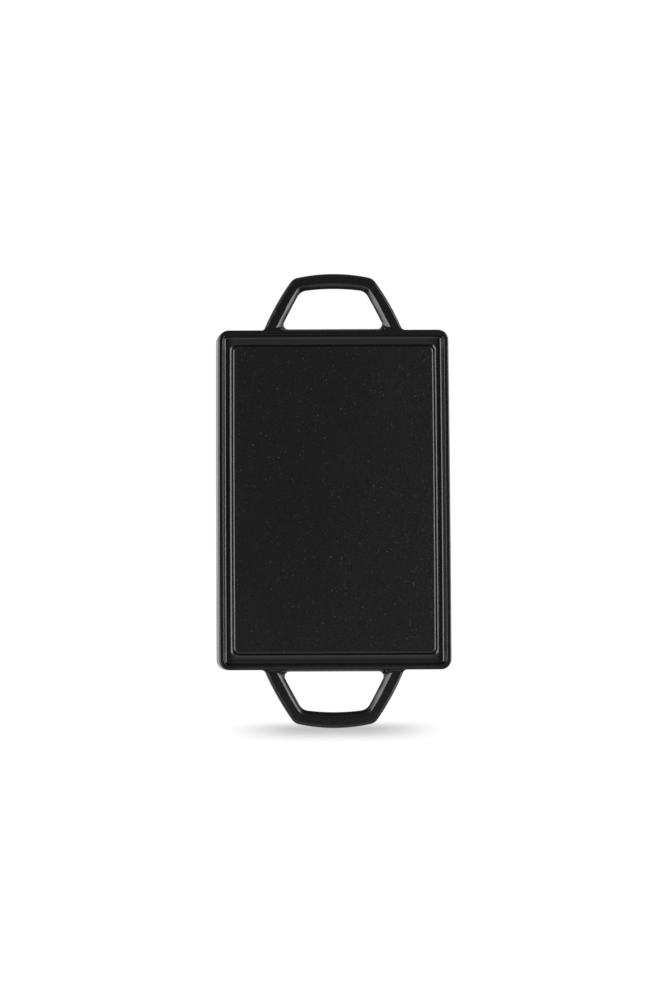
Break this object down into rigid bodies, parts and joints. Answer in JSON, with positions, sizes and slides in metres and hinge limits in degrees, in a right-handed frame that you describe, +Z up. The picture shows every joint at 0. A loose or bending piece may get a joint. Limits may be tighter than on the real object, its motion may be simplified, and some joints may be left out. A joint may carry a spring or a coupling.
{
  "type": "cast iron bacon press",
  "caption": "Flat rectangular cast iron bacon press and griddle plate with a raised rim, a grease channel, a flat pressing face, under ribs and a loop handle at each short end.",
  "frame": {"origin": "middle of the foot rim's resting plane, under the middle of the plate", "axes": "+Z up, out of the flat pressing face; +Y along the plate's length, from the front handle to the rear handle; +X across the plate's width"},
  "size_m": [0.2184, 0.4292, 0.018],
  "materials": {
    "black_enamelled_iron": "satin black over a fine cast grain",
    "black_enamelled_iron_grip": "satin black, smoothed by handling"
  },
  "bodies": {
    "root": {"press_plate": "black_enamelled_iron", "handle_front": "black_enamelled_iron_grip", "handle_rear": "black_enamelled_iron_grip"}
  },
  "joints": []
}
